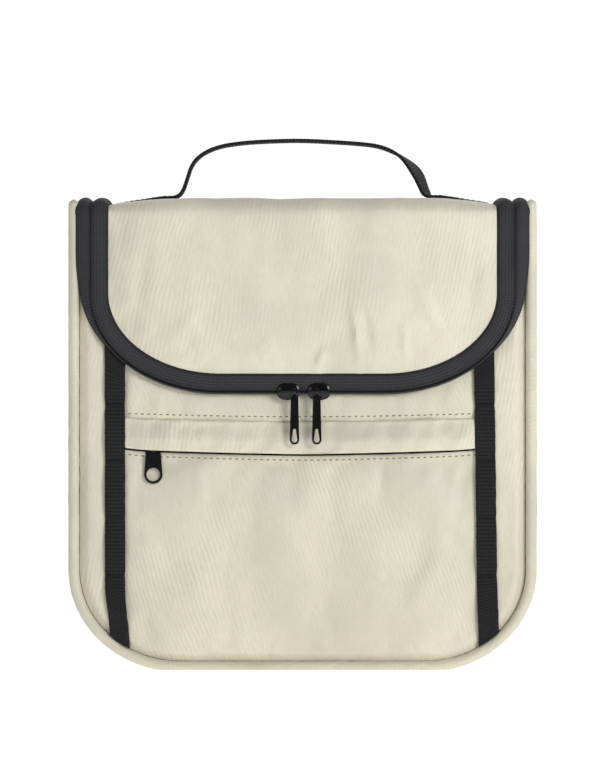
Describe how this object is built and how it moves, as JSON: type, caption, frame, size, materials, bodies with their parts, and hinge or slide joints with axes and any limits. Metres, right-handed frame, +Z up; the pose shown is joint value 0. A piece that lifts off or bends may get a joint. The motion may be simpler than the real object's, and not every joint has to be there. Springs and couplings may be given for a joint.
{
  "type": "toiletry bag",
  "caption": "Soft-sided upright wash bag with round lower corners, a lid that unzips round its front and folds back, a zipped front pocket, webbing loops and a carrying strap.",
  "frame": {"origin": "middle of the base, on the surface the bag stands on", "axes": "+Z up, +X to the bag's right as seen from the front, front facing -Y, back facing +Y"},
  "size_m": [0.236, 0.1048, 0.2696],
  "materials": {
    "outer_fabric": "cream polyester twill, slight sheen",
    "piping_fabric": "the same twill over a cord",
    "lining_fabric": "plain coated polyester",
    "binding_tape": "ribbed tape",
    "foam": "closed-cell foam",
    "board": "matt sheet",
    "webbing": "black woven webbing",
    "thread": "dense polyester stitching",
    "zip_tape": "charcoal ribbed tape",
    "zip_coil": "nylon coil",
    "slider_metal": "black enamel",
    "pull_plastic": "gloss black"
  },
  "bodies": {
    "bag": {"back_foam": "foam", "back_lining": "lining_fabric", "back_panel": "outer_fabric", "back_piping": "piping_fabric", "back_seam_binding": "binding_tape", "base_board": "board", "base_gusset": "outer_fabric", "base_lining": "lining_fabric", "body_front_zip_coil": "zip_coil", "body_front_zip_tape": "zip_tape", "body_top_zip_coils": "zip_coil", "body_top_zip_tapes": "zip_tape", "front_piping": "piping_fabric", "front_seam_binding": "binding_tape", "front_yoke": "outer_fabric", "hinge_tape": "outer_fabric", "left_bar_tacks": "thread", "left_front_panel": "outer_fabric", "left_gusset": "outer_fabric", "left_lining": "lining_fabric", "left_webbing": "webbing", "pocket_back": "lining_fabric", "pocket_panel": "outer_fabric", "pocket_placket": "outer_fabric", "pocket_zip_coils": "zip_coil", "pocket_zip_lower_tape": "zip_tape", "pocket_zip_stops": "slider_metal", "pocket_zip_upper_tape": "zip_tape", "right_bar_tacks": "thread", "right_front_panel": "outer_fabric", "right_gusset": "outer_fabric", "right_lining": "lining_fabric", "right_webbing": "webbing", "zip_end_tabs": "outer_fabric"},
    "lid_top": {"lid_top_panel": "outer_fabric", "lid_top_foam": "foam", "lid_top_lining": "lining_fabric", "lid_top_zip_tapes": "zip_tape", "lid_top_zip_coils": "zip_coil", "left_handle_end": "webbing", "right_handle_end": "webbing"},
    "lid_flap": {"flap_panel": "outer_fabric", "flap_foam": "foam", "flap_lining": "lining_fabric", "flap_zip_tape": "zip_tape", "flap_zip_coil": "zip_coil", "flap_seam_binding": "binding_tape"},
    "handle": {"handle_grip": "webbing"},
    "left_zip_slider": {"left_slider": "slider_metal"},
    "right_zip_slider": {"right_slider": "slider_metal"},
    "left_zip_pull": {"left_pull": "pull_plastic"},
    "right_zip_pull": {"right_pull": "pull_plastic"},
    "pocket_zip_slider": {"pocket_slider": "slider_metal"},
    "pocket_zip_pull": {"pocket_pull": "pull_plastic"}
  },
  "joints": [
    {"name": "lid_hinge", "type": "hinge", "parent": "bag", "child": "lid_top", "pos_m": [0, 0.0466, 0.2402], "axis": [-1, 0, 0], "range_deg": [0, 180]},
    {"name": "flap_fold", "type": "hinge", "parent": "lid_top", "child": "lid_flap", "pos_m": [0, -0.0496, 0.2372], "axis": [-1, 0, 0], "range_deg": [0, 90]},
    {"name": "handle_tilt", "type": "hinge", "parent": "lid_top", "child": "handle", "pos_m": [0, 0, 0.25], "axis": [1, 0, 0], "range_deg": [-60, 60], "stiffness_Nm_per_rad": 0.01},
    {"name": "left_slider_travel", "type": "slide", "parent": "lid_flap", "child": "left_zip_slider", "axis": [-1, 0, 0], "range_m": [0, 0.041]},
    {"name": "right_slider_travel", "type": "slide", "parent": "lid_flap", "child": "right_zip_slider", "axis": [1, 0, 0], "range_m": [0, 0.04]},
    {"name": "left_pull_swing", "type": "hinge", "parent": "left_zip_slider", "child": "left_zip_pull", "pos_m": [-0.0041, -0.055, 0.142], "axis": [-1, 0, 0], "range_deg": [0, 150]},
    {"name": "right_pull_swing", "type": "hinge", "parent": "right_zip_slider", "child": "right_zip_pull", "pos_m": [0.0072, -0.055, 0.142], "axis": [-1, 0, 0], "range_deg": [0, 150]},
    {"name": "pocket_slider_travel", "type": "slide", "parent": "bag", "child": "pocket_zip_slider", "axis": [1, 0, 0], "range_m": [0, 0.154]},
    {"name": "pocket_pull_swing", "type": "hinge", "parent": "pocket_zip_slider", "child": "pocket_zip_pull", "pos_m": [-0.076, -0.0494, 0.1125], "axis": [-1, 0, 0], "range_deg": [0, 35]}
  ]
}
